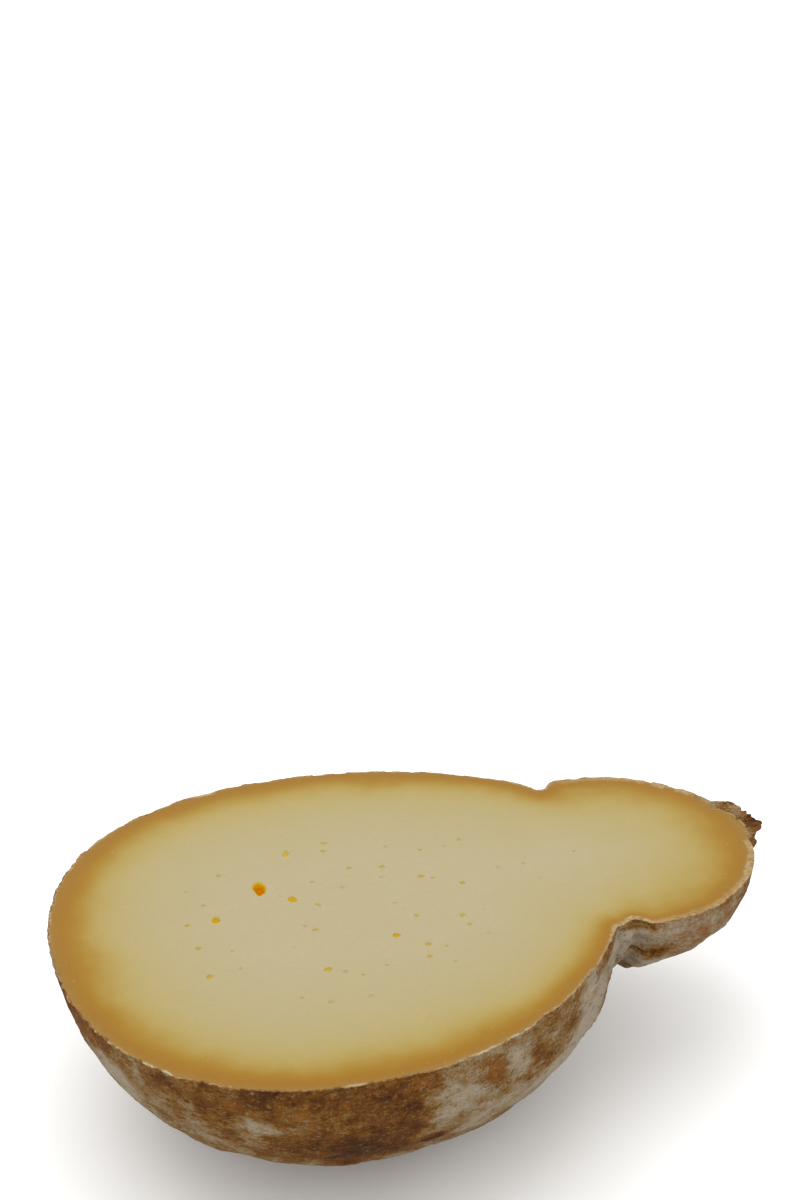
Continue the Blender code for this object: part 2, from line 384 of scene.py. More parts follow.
def tone_at(points, share, turn):
    """How brown, ochre and mouldy the rind is at each point. The two narrow brown lines in the crease at
    the neck are painted shade.
    """
    warp = noises_at(points, *PATCH_WARP) * MM
    drift = noises_at(points, *PATCH_DRIFT) * MM
    from_axis = np.hypot(points[:, 1] - AXIS_OFFSET, points[:, 2])
    tones = np.tile(USUAL_TONE, (len(points), 1))
    for at, degrees, half_length, half_width, *tone in PATCHES:
        along = (share - at) * OUTLINE_LENGTH + warp * min(half_length / WARPED_SIZE, 1)
        across = (turn - math.radians(degrees)) * from_axis + drift * min(half_width / WARPED_SIZE, 1)
        away = (along / (half_length * MM)) ** 2 + (across / (half_width * MM)) ** 2
        tones += np.exp(-(away**1.5))[:, None] * np.array(tone)
    hidden = 1 - smooth_step(turn, *np.radians(BROAD_TURNS))
    for column, (size, seed, amount) in enumerate(BROAD_NOISES):
        tones[:, column] += hidden * noise_at(points, size, seed) * amount
    for along, across, half_length in RIM_CHIPS:
        away = np.hypot(points[:, 0] - along * MM, points[:, 1] - across * MM) / (half_length * MM)
        chip = np.exp(-(away**4) + points[:, 2] / (CHIP_DEPTH * MM))
        tones[:, 2] += chip * 0.9
    return tones


# -------- the edge round the cut

KNOT_AT = (0.2400, 0.0040)
KNOT_MIDDLE = (0.2270, 0.0030)  # the crags begin at some distance from here
KNOT_SINK = 0.9  # how deep the rind's edge dips under the knot, in millimetres
RAGGED = ((0.0009, 21.0, 0.5), (0.0021, 23.0, 0.5), (0.0046, 22.0, 1.0))
CHIPS = (0.0048, 24.0, 1.0)
WEAR_REACH = 0.0009  # how far down the crumbling goes


def from_place(points, place):
    return np.hypot(points[:, 0] - place[0], points[:, 1] - place[1])


def far_side(points):
    return smooth_step(points[:, 1], 0.0, 0.03)


def head_edge(points):
    """1 at the edge round the head, which begins farther on at the far side, and 0 round the body."""
    return smooth_step(points[:, 0] - far_side(points) * 0.022, 0.155, 0.180)


def at_knot(points):
    """How much of each point lies under the knot, where the skin has no edge of its own."""
    return 1 - smooth_step(from_place(points, KNOT_AT), 0.010, 0.015)


def knot_share(points):
    """How craggy the cut is at each point: 1 at the knot's outer side, 0 in the plain paste."""
    outer_side = smooth_step(from_place(points, KNOT_MIDDLE), 0.0105, 0.0155)
    return outer_side * (1 - smooth_step(from_place(points, KNOT_AT), 0.012, 0.017))


def wear_at(points):
    """How far the edge of the rind has crumbled at each point: (inwards, downwards)."""
    bottom = 1 - smooth_step(points[:, 0], 0.02, 0.06)
    ragged = noises_at(points, *RAGGED) * (0.28 + 0.35 * bottom) * MM
    chips = smooth_step(noises_at(points, CHIPS), 0.26, 0.6)
    return ragged + chips * 0.45 * MM, chips * 0.6 * MM


def worn_skin(share, turn):
    """The rind's outer surface, crumbled next to the cut and flat where it rests on the floor."""
    points, normals = skin(share, turn)
    inwards, downwards = wear_at(points * np.array((1, 1, 0)))
    near_cut = np.exp(points[:, 2] / WEAR_REACH)
    points -= normals * (inwards * near_cut)[:, None]
    points[:, 2] = np.minimum(points[:, 2], 0) - (downwards + at_knot(points) * KNOT_SINK * MM) * near_cut
    points[:, 2] = np.maximum(points[:, 2], FLOOR)
    return points


# -------- meshes


class Mesh:
    """Points and faces as they are made, with a few values for each point."""

    def __init__(self):
        self.points = []
        self.faces = []
        self.values = collections.defaultdict(list)

    def add(self, points, **values):
        """Adds points, each with these values, and returns their numbers."""
        first = len(self.points)
        self.points.extend(np.atleast_2d(points).tolist())
        count = len(self.points) - first
        for name, value in values.items():
            self.values[name].extend(np.broadcast_to(value, (count, *np.shape(value)[1:])).tolist())
        return list(range(first, first + count))

    def face(self, *corners):
        corners = [c for i, c in enumerate(corners) if c != corners[i - 1]]
        if len(corners) > 2:
            self.faces.append(corners)

    def bridge(self, fine, coarse):
        """Faces between two lines of points, where fine has a whole number of steps for each of coarse."""
        steps = (len(fine) - 1) // (len(coarse) - 1)
        for index, (start, end) in enumerate(zip(coarse, coarse[1:])):
            part = fine[index * steps : (index + 1) * steps + 1]
            middle = steps // 2
            for step in range(steps):
                if step < middle:
                    self.face(start, part[step + 1], part[step])
                elif step == middle:
                    self.face(start, end, part[step + 1], part[step])
                else:
                    self.face(end, part[step + 1], part[step])

    def bridge_loops(self, fine, coarse):
        self.bridge(fine + fine[:1], coarse + coarse[:1])


def linked(name, data):
    """A new object with this data, in the scene."""
    item = bpy.data.objects.new(name, data)
    bpy.context.scene.collection.objects.link(item)
    return item


def mesh_from(name, bm):
    """A new mesh with what the bmesh holds, which is freed."""
    mesh = bpy.data.meshes.new(name)
    bm.to_mesh(mesh)
    bm.free()
    return mesh


def loop_round(rows):
    """The loop round the cut: along the first row, and back along the last."""
    return rows[0][:-1] + rows[-1][:0:-1]


def add_values(mesh, values):
    """Keeps the values of the points with the mesh, for its material."""
    for name, value in values.items():
        flat = np.array(value, np.float32)
        kind, field = ("FLOAT", "value") if flat.ndim == 1 else ("FLOAT_VECTOR", "vector")
        mesh.attributes.new(name, kind, "POINT").data.foreach_set(field, flat.ravel())


def make_piece(name, shape, material):
    """A closed mesh object from the points and faces, in its place in the frame."""
    mesh = bpy.data.meshes.new(name)
    mesh.from_pydata(shape.points, [], shape.faces)
    bm = bmesh.new()
    bm.from_mesh(mesh)
    bmesh.ops.recalc_face_normals(bm, faces=bm.faces)
    bm.to_mesh(mesh)
    bm.free()
    add_values(mesh, shape.values)
    mesh.shade_smooth()
    mesh.set_sharp_from_angle(angle=SHARP_ANGLE)
    mesh.transform(Matrix.Translation(CUT_ORIGIN))
    mesh.materials.append(material)
    piece = linked(name, mesh)
    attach(piece, BODY)
    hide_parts(NODE)


# -------- the rind

# The loops of the crumbly edge: how far in each is and how high, in millimetres, how its colour goes
# from the rind's (0) by the crumbs' (1) to the paste's (2), and how much less that is at the bottom end.
RIM_LOOPS = (
    (0.22, 0.03, 1.0, 0.5),
    (0.50, 0.06, 1.0, 0.5),
    (0.80, 0.05, 1.15, 0.5),
    (1.15, 0.01, 1.5, 0.0),
    (1.50, -0.12, 2.0, 0.0),
    (1.80, -0.60, 2.0, 0.0),
)
NARROWEST_RIM = 0.44
RIM_UNEVENNESS = ((0.013, 31.0, 1.0), (0.004, 32.0, 0.5))
RIM_CRUMBS = ((0.0012, 33.0, 0.11), (0.0034, 34.0, 0.10))
# The rim's direction at a point comes from the points this many steps before and after it.
RIM_SPANS = (6, 8, 10)


def rim_width(points):
    """How wide the crumbly edge is, as a share of its usual width. It's wider round the head."""
    tip = smooth_step(points[:, 0], 0.212, 0.232)
    width = np.maximum(0.58 + 0.40 * noises_at(points, *RIM_UNEVENNESS), NARROWEST_RIM)
    return width * (1 + 1.4 * head_edge(points) + 0.8 * tip + 0.4 * far_side(points))


def rim_loops(rim):
    """(points, edge) of each loop from the rind's rim inwards, where edge is how far its colour goes."""
    rim = np.array(rim)
    tangents = sum(np.roll(rim, -span, axis=0) - np.roll(rim, span, axis=0) for span in RIM_SPANS)
    inwards = np.stack([tangents[:, 1], -tangents[:, 0], np.zeros(len(rim))], axis=-1)
    inwards /= np.linalg.norm(inwards, axis=-1, keepdims=True)
    width = rim_width(rim * np.array((1, 1, 0)))[:, None]
    for inset, height, colour, bottom_loss in RIM_LOOPS:
        points = rim + inwards * inset * MM * width
        crumbs = noises_at(points * np.array((1, 1, 0)), *RIM_CRUMBS)
        level = (height + crumbs - at_knot(points) * KNOT_SINK) * MM
        points[:, 2] = rim[:, 2] * math.exp(-inset / 1.1) + level
        yield points, colour - bottom_loss * (1 - smooth_step(points[:, 0], 0.012, 0.045))


def add_ends(shape, inset, edge):
    """Adds the gourd's two ends, this far in and down, and returns the number of each in a list."""
    ends = []
    for end, share, inwards in ((BOTTOM_END, 0.0, inset), (TOP_END, 1.0, -inset)):
        grain = grain_points(np.full(1, share), np.full(1, math.pi / 2))
        point = end + np.array((inwards, 0, -inset))
        ends.append(shape.add(point, grain=grain, tone=np.array([USUAL_TONE]), edge=edge))
    return ends


def add_outer_row(shape, share, turn, edge):
    turn = np.full_like(share, turn)
    points = worn_skin(share, turn)
    tone = tone_at(points, share, turn)
    return shape.add(points, grain=grain_points(share, turn), tone=tone, edge=edge)


def add_outer_side(shape):
    """Adds the rind's outer side, and returns its rows from the far rim to the near one."""
    bottom, top = add_ends(shape, 0.0, RIM_ROWS[0][1])
    fine, plain = shares(PLACES * FINE), shares(PLACES)
    last_turn = RIM_ROWS[-1][0]
    wanted = [(fine, turn, edge) for turn, edge in RIM_ROWS]
    wanted += [(plain, turn, 0.0) for turn in np.linspace(last_turn, math.pi - last_turn, TURNS)[1:-1]]
    wanted += [(fine, math.pi - turn, edge) for turn, edge in reversed(RIM_ROWS)]
    rows = [bottom + add_outer_row(shape, *row) + top for row in wanted]
    for before, after in zip(rows, rows[1:]):
        if len(before) >= len(after):
            shape.bridge(before, after)
        else:
            shape.bridge(after, before)
    return rows


def add_crumbly_edge(shape, rim):
    """Adds the cut edge of the rind, from its outer rim inwards, and returns its innermost loop."""
    grain, tone = (np.array([shape.values[name][i] for i in rim]) for name in ("grain", "tone"))
    outer = rim
    for points, edge in rim_loops([shape.points[i] for i in rim]):
        paler = np.zeros_like(tone)
        paler[:, 2] = 0.3 * np.maximum(head_edge(points), 0.8 * far_side(points))
        inner = shape.add(points, grain=grain, tone=tone + paler, edge=edge)
        shape.bridge_loops(outer, inner)
        outer = inner
    return outer


def add_inner_side(shape):
    """Adds the rind's inner side, coarse as it's hidden inside the paste, and returns its rows."""
    bottom, top = add_ends(shape, RIND_THICKNESS, 0.0)
    share = shares(PLACES // COARSE)
    rows = []
    for turn in np.linspace(0, math.pi, COARSE_TURNS + 1):
        turn = np.full_like(share, turn)
        points = under_skin(share, turn, RIND_THICKNESS)
        points[:, 2] = np.clip(points[:, 2], FLOOR + RIND_THICKNESS, -RIND_THICKNESS)
        row = shape.add(points, grain=grain_points(share, turn), tone=np.array([USUAL_TONE]), edge=0.0)
        rows.append(bottom + row + top)
    for before, after in zip(rows, rows[1:]):
        shape.bridge(after, before)
    return rows


def build_rind():
    shape = Mesh()
    outer = add_outer_side(shape)
    innermost = add_crumbly_edge(shape, loop_round(outer))
    inner = add_inner_side(shape)
    shape.bridge_loops(innermost, loop_round(inner))
    return shape


# -------- the paste

# Eyes: (along, across, length, width) in millimetres, and the angle from the axis in degrees if any.
EYES = (
    (71.4, 23.5, 8.6, 4.5, 84), (79.6, 13.8, 3.9, 3, 105), (76.6, 16.8, 1.9, 0.9, 150),
    (53.3, 11.7, 3.8, 3.2, 80), (85.8, 40, 4.6, 2.4, 60), (86.5, 8, 3, 1.8, 120),
    (104.3, -16.6, 2.9, 2.8), (78.5, -25.5, 3.1, 2.4, 10), (112, -24.5, 2.5, 2.2),
    (128, -14.2, 2.5, 2), (135, 2.6, 2.5, 2.2), (44, -1, 2.2, 2),
    (43.5, -16, 2.6, 2.4), (110, -30.7, 2.4, 2), (117, -27.5, 1.8, 1.6),
    (128, -19.5, 2, 1.6), (81.3, -4.8, 2.4, 2), (113.5, 21, 2.2, 2),
    (103, 24.3, 2.2, 1.8), (123.5, 11, 2.4, 2.2), (97, 14.3, 2.2, 1.6, 60),
    (89, 21, 1.8, 1.6), (114, -9, 2.2, 2), (98, 37, 2, 2),
    (100, 41.5, 3, 2), (74, -41, 2.2, 1.8), (86.3, -42.5, 2.4, 1.6),
    (87.5, -32, 1.6, 1.6), (96, -30, 1.8, 1.4), (61, 35.5, 2, 1.8),
    (53.5, -6, 2, 1.4), (51.5, 21, 1.6, 1.6), (44, 12, 2.4, 2),
    (111, 15.5, 1.4, 1.4), (149.5, 7, 1.6, 1.6), (158.5, 6, 1.6, 1.6),
    (177.5, 6.3, 1.4, 1.4), (144, 27, 1.8, 1.8), (129, 26, 1.6, 1.6),
    (116.5, -35.7, 1.4, 1.4), (66.5, -36, 1.2, 1.2), (132, -26, 1.2, 1.2),
    (110, 0, 1.8, 1.4), (79, -1.5, 1.4, 1.4), (53.5, -15.5, 1.2, 1.2),
    (83, -28.5, 1.6, 1.6), (119, 32, 1.4, 1.4), (99, -58, 0.9, 0.9),
    (32.2, -52.8, 1.2, 1.2), (72, -11, 1.6, 0.7, 30), (48.5, 30, 1.2, 1.2),
    (127, 8.8, 2, 1.5), (160, -4, 1, 1), (137.5, 25, 1.2, 1.2),
)
EYE_POINTS = 22
EYE_SHARE = 0.88  # their true size as a share of the size above
# By an eye's width in millimetres: its depth as a share of that, and how deep its colour is.
EYE_DEPTHS = ((1.0, 2.4, 4.2), (0.16, 0.24, 0.36))
EYE_COLOURS = ((1.0, 1.8, 2.5, 3.2, 4.2), (0.09, 0.20, 0.38, 0.62, 1.0))
# The rings of an eye's wall, from its soft lip down: (share of the outline, of the depth, of the colour).
EYE_RINGS = (
    (1.22, 0.0, 0.0),
    (1.08, 0.03, 0.16),
    (0.96, 0.18, 0.50),
    (0.84, 0.46, 0.78),
    (0.66, 0.76, 0.92),
    (0.42, 0.94, 1.0),
    (0.20, 0.99, 1.0),
)
CUT_STEP = 0.0013
CUT_REACH = 0.1  # half the width that the lattice is laid over
RIM_MARGIN = 0.001
JOIN_TOLERANCE = 1e-7
CUT_WAVES = (0.012, 41.0, 0.12)
# In millimetres from the rim: where the waves have their full height, how wide the worn paste is round
# the head, and from where on the head's colours change slower.
WAVES_FULL_AT = 3
WORN_WIDTH = 2.6
BROWN_KNEE = 8


def eye_outline(along, across, length, width, angle=0):
    """The uneven mouth of an eye, as points round its middle."""
    turns = np.arange(EYE_POINTS) / EYE_POINTS * 2 * math.pi
    circle = np.stack([np.cos(turns), np.sin(turns), np.full(EYE_POINTS, along + across)], axis=-1)
    uneven = 1 + (0.38 - 0.04 * width) * noise_at(circle * np.array((1.5, 1.5, 1)), 1.0)
    x = np.cos(turns) * length / 2 * uneven
    y = np.sin(turns) * width / 2 * uneven
    cos, sin = math.cos(math.radians(angle)), math.sin(math.radians(angle))
    return np.stack([x * cos - y * sin, x * sin + y * cos], axis=-1) * EYE_SHARE * MM


def tree_of(points):
    tree = kdtree.KDTree(len(points))
    for index, point in enumerate(points):
        tree.insert((point[0], point[1], 0), index)
    tree.balance()
    return tree


def distance_to(tree, points):
    return np.array([tree.find((point[0], point[1], 0))[2] for point in points])


def paste_rows():
    """Rows of points on the paste's outer side, from the cut's far edge to its near one."""
    share = shares(PLACES)
    rows = []
    for index, turn in enumerate(np.linspace(0, math.pi, COARSE_TURNS + 1)):
        turn = np.full_like(share, turn)
        depth = PASTE_INSET if index in (0, COARSE_TURNS) else PASTE_DEPTH
        points = under_skin(share, turn, depth)
        points[:, 2] = np.clip(points[:, 2], FLOOR + depth, 0)
        rows.append(points)
    rows[0][:, 2] = rows[-1][:, 2] = 0
    return rows


def rim_of(rows):
    """The paste's rim on the cut: the bottom end, the far edge, the head's end and the near edge."""
    bottom = BOTTOM_END + np.array((PASTE_INSET, 0, 0))
    top = TOP_END - np.array((PASTE_INSET, 0, 0))
    return np.concatenate([[bottom], rows[0], [top], rows[-1][::-1]])


class CutPlan:
    """The cut's points before they are joined into faces, and the lines that the faces have to keep."""

    def __init__(self):
        self.places = []
        self.heights = []
        self.eyes = []
        self.lines = []

    def add(self, places, height=0.0, eye=0.0, loop=False):
        first, count = len(self.places), len(places)
        self.places.extend(places.tolist())
        self.heights.extend([height] * count)
        self.eyes.extend([eye] * count)
        if loop:
            self.lines += [(first + i, first + (i + 1) % count) for i in range(count)]

    def add_eye(self, eye):
        """Adds an eye's rings and its middle, and returns its middle and how far it reaches."""
        middle = np.array(eye[:2]) * MM
        mouth = eye_outline(*eye)
        width = min(eye[2], eye[3])
        depth = width * MM * np.interp(width, *EYE_DEPTHS)
        colour = np.interp(width, *EYE_COLOURS)
        for part, deep, coloured in EYE_RINGS:
            self.add(mouth * part + middle, -deep * depth, colour * coloured, loop=True)
        self.add(middle[None], -depth, colour)
        return middle, np.hypot(*mouth.T).max() * EYE_RINGS[0][0]

    def joined(self):
        """(places, faces, sources), where a source is the place's number in the plan, or None."""
        flat = [Vector(place) for place in self.places]
        found = geometry.delaunay_2d_cdt(flat, self.lines, [], 1, JOIN_TOLERANCE)
        places, _, faces, origins = found[:4]
        sources = [origin[0] if origin else None for origin in origins]
        return np.array([tuple(place) for place in places]), faces, sources


def cut_lattice(rim_tree, eyes):
    """Points of a triangular lattice on the cut, clear of its rim and of the eyes' (middle, reach)."""
    xs, ys = [], []
    row_step = CUT_STEP * math.sqrt(3) / 2
    for row in range(int(2 * CUT_REACH / row_step)):
        y = -CUT_REACH + row * row_step
        x = np.arange(0, HEAD_END, CUT_STEP) + (row % 2) * CUT_STEP / 2
        across = y - AXIS_OFFSET
        inside = (across < radius(x, FAR) - RIM_MARGIN) & (-across < radius(x, NEAR) - RIM_MARGIN)
        xs.append(x[inside])
        ys.append(np.full(inside.sum(), y))
    points = np.stack([np.concatenate(xs), np.concatenate(ys)], axis=-1)
    clear = distance_to(rim_tree, points) > CUT_STEP * 0.6
    for middle, reach in eyes:
        clear &= np.hypot(*(points - middle).T) > reach + CUT_STEP * 0.35
    return points[clear]


def plan_cut(rim):
    plan = CutPlan()
    plan.add(rim[:, :2], loop=True)
    eyes = [plan.add_eye(eye) for eye in EYES]
    plan.add(cut_lattice(tree_of(rim), eyes))
    return plan


def browning_depth(places, from_rim):
    """How far in from the rim each place seems by its colour, which changes slower at the two ends."""
    along, across = places.T
    bottom = 1 - smooth_step(along, 0.0, 0.045)
    neck = np.exp(-(((along - UNDER.neck_at) / 0.018) ** 2))
    head = smooth_step(along, 0.150, 0.200)
    tip = smooth_step(along, 0.205, 0.235)
    shoulder = smooth_step(along, 0.080, 0.145) * (1 - smooth_step(along, 0.165, 0.190))
    near_side = 1 - smooth_step(across, -0.03, 0.03)
    shoulder *= 0.06 + 0.32 * near_side
    depth = from_rim * (1 + 0.55 * neck + shoulder - 0.25 * tip - 0.24 * bottom)
    knee = BROWN_KNEE * MM
    return np.minimum(depth, knee) + np.maximum(depth - knee, 0) * (1 - 0.5 * head)


def add_cut(shape, plan, places, sources):
    """Adds the points of the cut with all their values, and returns their numbers."""
    z, eye = (
        np.array([0.0 if source is None else values[source] for source in sources])
        for values in (plan.heights, plan.eyes)
    )
    outline = [form(shares(PLACES), np.full(PLACES - 1, turn)) for turn in (0.0, math.pi)]
    from_edge = distance_to(tree_of(np.concatenate(outline)), places)
    from_rim = browning_depth(places, from_edge)
    worn = np.exp(-((from_edge / (WORN_WIDTH * MM)) ** 2)) * head_edge(places) * (1 - at_knot(places))
    waves = noises_at(np.column_stack([places, np.zeros(len(places))]), CUT_WAVES) * MM
    z += waves * (z == 0) * np.clip(from_rim / (WAVES_FULL_AT * MM), 0, 1)
    points = np.column_stack([places, z])
    return shape.add(points, from_rim=from_rim, eye=eye, knot=knot_share(places), worn=worn)


def build_paste():
    shape = Mesh()
    rows = paste_rows()
    rim = rim_of(rows)
    plan = plan_cut(rim)
    places, faces, sources = plan.joined()
    numbers = add_cut(shape, plan, places, sources)
    for face in faces:
        shape.face(*face)
    number_of = dict(zip(sources, numbers))
    loop = [number_of[i] for i in range(len(rim))]
    first, last = loop[0], loop[PLACES]
    far, near = loop[1:PLACES], loop[PLACES + 1 :][::-1]
    lines = [[first, *far, last]]
    for points in rows[1:-1]:
        lines.append([first, *shape.add(points, from_rim=0.0, eye=0.0, knot=0.0, worn=0.0), last])
    lines.append([first, *near, last])
    for before, after in zip(lines, lines[1:]):
        shape.bridge(before, after)
    return shape


# -------- the knot

# The knot's lumps and the flaps of skin round it, in millimetres: (along, across, up), half lengths
# (along, across, up), then turns in degrees about y and z, and how (brown, ochre, pale) each is.
KNOT_LUMPS = (
    ((234.6, 4, -11.6), (6, 12.6, 10.2), (0, 0), (0.4, 0.2, 0.1)),
    ((237.2, 9.6, -2.6), (4.6, 7.6, 5), (0, -22), (0.35, 0.25, 0.1)),
    ((236, -0.6, -2), (4.4, 8, 3.4), (0, 20), (0.4, 0.25, 0.1)),
    ((238.6, 14.8, -2), (3.6, 2.2, 3.4), (0, -28), (0.15, 0.1, 0.75)),
    ((240.6, 12.8, -1.5), (2.9, 2.9, 3.6), (0, -20), (0.35, 0.2, 0.05)),
    # The next thin brown flap lies along the ear's far edge: painted shade.
    ((241, 14.6, -0.7), (2.9, 0.9, 1.6), (0, -32), (0.85, -0.2, -0.2)),
    ((240, 13.4, -0.2), (1.3, 0.9, 0.7), (0, -20), (0.35, 0.95, -0.2)),
    ((242.6, 11, -0.8), (1.8, 1.8, 2), (0, 20), (0.3, 0.25, 0.05)),
    ((242.4, 6.4, -1.4), (2, 2.4, 3), (0, 0), (0.35, 0.2, 0.2)),
    ((242.2, 1.8, -1.4), (2.8, 2.8, 3.4), (0, 0), (0.65, 0.55, 0.0)),
    ((244.5, 0.9, -0.5), (2.5, 0.9, 1.6), (0, -32), (0.9, 0.2, -0.3)),
    # The next lump's pale lines on the nub's folds are a painted highlight.
    ((243.7, -0.5, -0.4), (2.2, 0.8, 1.4), (0, -28), (0.45, 0.3, 0.55)),
    ((242.9, -1.9, -0.7), (2.4, 0.9, 1.4), (0, -18), (0.85, 0.6, -0.3)),
    ((241, -3.1, -0.8), (2, 1.1, 1.6), (0, 10), (0.45, 0.75, 0.0)),
    ((237.2, -5.6, -1), (2.2, 1.7, 1.8), (0, 38), (0.45, 0.6, 0.1)),
    ((234.4, -8.8, -1.2), (2, 1.6, 1.6), (0, 45), (0.45, 0.3, 0.2)),
    ((245, 4.9, -0.6), (0.9, 0.5, 1.1), (0, 60), (0.9, -0.1, 0.1)),
    ((244.4, 7.3, -0.5), (0.9, 0.5, 0.9), (0, 30), (0.8, 0.0, 0.1)),
    ((244.8, 3.2, -0.8), (1.1, 0.5, 1.2), (0, 75), (0.7, 0.4, 0.1)),
    ((240.2, 1, -6), (3.4, 3.4, 2.4), (35, 0), (0.75, 0.1, 0.0)),
    ((239.4, 7.6, -7.2), (3.2, 3.4, 2.6), (40, 20), (0.5, 0.3, 0.1)),
    ((235, -4, -6.4), (2.8, 2.8, 2.2), (40, -20), (0.5, 0.1, 0.2)),
    ((237.6, 2.6, -10.4), (2.4, 4.4, 1.6), (50, 0), (0.6, 0.0, 0.1)),
)
KNOT_STEPS = 5  # one less for a lump with half lengths under SMALL_LUMP
SMALL_LUMP = 4.5
KNOT_GRAIN = 0.28  # the grid on which the lumps are joined
# The relief's sizes and heights are in millimetres too. Lumps thinner than FULL_RELIEF have less of it.
KNOT_FOLD = 2.6
KNOT_FOLD_HEIGHT = 1.25
KNOT_FOLD_SHARPNESS = 2.4
KNOT_FOLD_STRETCH = 0.35
KNOT_GRIT = 0.9
KNOT_GRIT_HEIGHT = 0.35
FULL_RELIEF = 3.0
# The dark nub at the knot's end: its place and its half lengths.
NUB_AT = (244.5, -0.6)
NUB_HALF = (3.4, 5.0)


def knot_level(at):
    """How high the cut is at this place of the knot: level with the paste, then more uneven."""
    craggy = knot_share(np.array([at[:2]]) * MM)[0]
    uneven = noise.noise(Vector((at.x / 1.8, at.y / 1.4, 0)))
    return 0.15 * craggy - 0.10 + (0.05 + 0.30 * craggy) * uneven


def knot_lump(middle, half, turns):
    """The points of one lump, folded lengthwise and cut level with the paste."""
    bm = bmesh.new()
    steps = KNOT_STEPS - (max(half) < SMALL_LUMP)
    bmesh.ops.create_icosphere(bm, subdivisions=steps, radius=1)
    turn_y, turn_z = (math.radians(turn) for turn in turns)
    turn = Matrix.Rotation(turn_z, 3, "Z") @ Matrix.Rotation(turn_y, 3, "Y")
    for vertex in bm.verts:
        outward = vertex.co.normalized()
        at = turn @ Vector(a * b for a, b in zip(outward, half)) + Vector(middle)
        folded = noise.noise(Vector((at.x * KNOT_FOLD_STRETCH, at.y, at.z)) / KNOT_FOLD)
        fold = 1 - KNOT_FOLD_SHARPNESS * abs(folded)
        grit = noise.noise(at / KNOT_GRIT)
        height = fold * KNOT_FOLD_HEIGHT + grit * KNOT_GRIT_HEIGHT
        vertex.co = at + turn @ outward * height * min(1.0, min(half) / FULL_RELIEF)
        vertex.co.z = min(vertex.co.z, knot_level(at))
    return bm


def all_lumps():
    """An object with all the lumps, still apart."""
    joined = bmesh.new()
    for middle, half, turns, _ in KNOT_LUMPS:
        part = mesh_from("lump", knot_lump(middle, half, turns))
        joined.from_mesh(part)
        bpy.data.meshes.remove(part)
    return linked("lumps", mesh_from("lumps", joined))


def one_skin(lumps):
    """(points, faces) of one closed skin round the lumps, which are removed."""
    remesh = lumps.modifiers.new("one skin", "REMESH")
    remesh.mode = "VOXEL"
    remesh.voxel_size = KNOT_GRAIN
    remesh.use_smooth_shade = True
    evaluated = lumps.evaluated_get(bpy.context.evaluated_depsgraph_get())
    mesh = bpy.data.meshes.new_from_object(evaluated)
    points = np.array([tuple(vertex.co) for vertex in mesh.vertices])
    faces = [tuple(polygon.vertices) for polygon in mesh.polygons]
    lumps_mesh = lumps.data
    bpy.data.objects.remove(lumps)
    bpy.data.meshes.remove(mesh)
    bpy.data.meshes.remove(lumps_mesh)
    return points, faces


def knot_tone(points):
    """How brown, ochre and mouldy each point is, from the lumps that it's nearest to. The ear's far edge is
    browner with painted shade, and the nub paler with a painted highlight.
    """
    weights, tones = [], []
    for middle, half, _, tone in KNOT_LUMPS:
        near = np.linalg.norm((points - middle) / half, axis=-1)
        weights.append(np.exp(-3 * near))
        tones.append(tone)
    weights = np.array(weights)
    return (weights / weights.sum(axis=0)).T @ np.array(tones)


def build_knot():
    """All the lumps grown into one closed skin, coloured like the crumbly edge where it's cut."""
    points, faces = one_skin(all_lumps())
    from_nub = np.hypot(*((points[:, :2] - NUB_AT) / NUB_HALF).T)
    like_paste = 1 - smooth_step(knot_share(points * MM), 0.25, 0.70)
    on_cut = smooth_step(points[:, 2], -0.6, -0.1) * smooth_step(from_nub, 0.8, 1.3)
    on_cut *= 0.42 + 1.5 * like_paste
    tone = knot_tone(points)
    tone[:, 2] += 0.2 * like_paste
    shape = Mesh()
    shape.add(points * MM, grain=points * np.array((1, 1.5, 1.5)) * MM, tone=tone, edge=on_cut)
    for face in faces:
        shape.face(*face)
    return shape


# -------- materials

TINT_SCALE = 0.72  # the studio's light is brighter than white, and this makes up for it


def tint(red, green, blue):
    """A colour given as it looks on a screen, from 0 to 255, as the light values that shaders take."""
    values = [value / 255 for value in (red, green, blue)]
    linear = [v / 12.92 if v <= 0.04045 else ((v + 0.055) / 1.055) ** 2.4 for v in values]
    return [value * TINT_SCALE for value in linear]


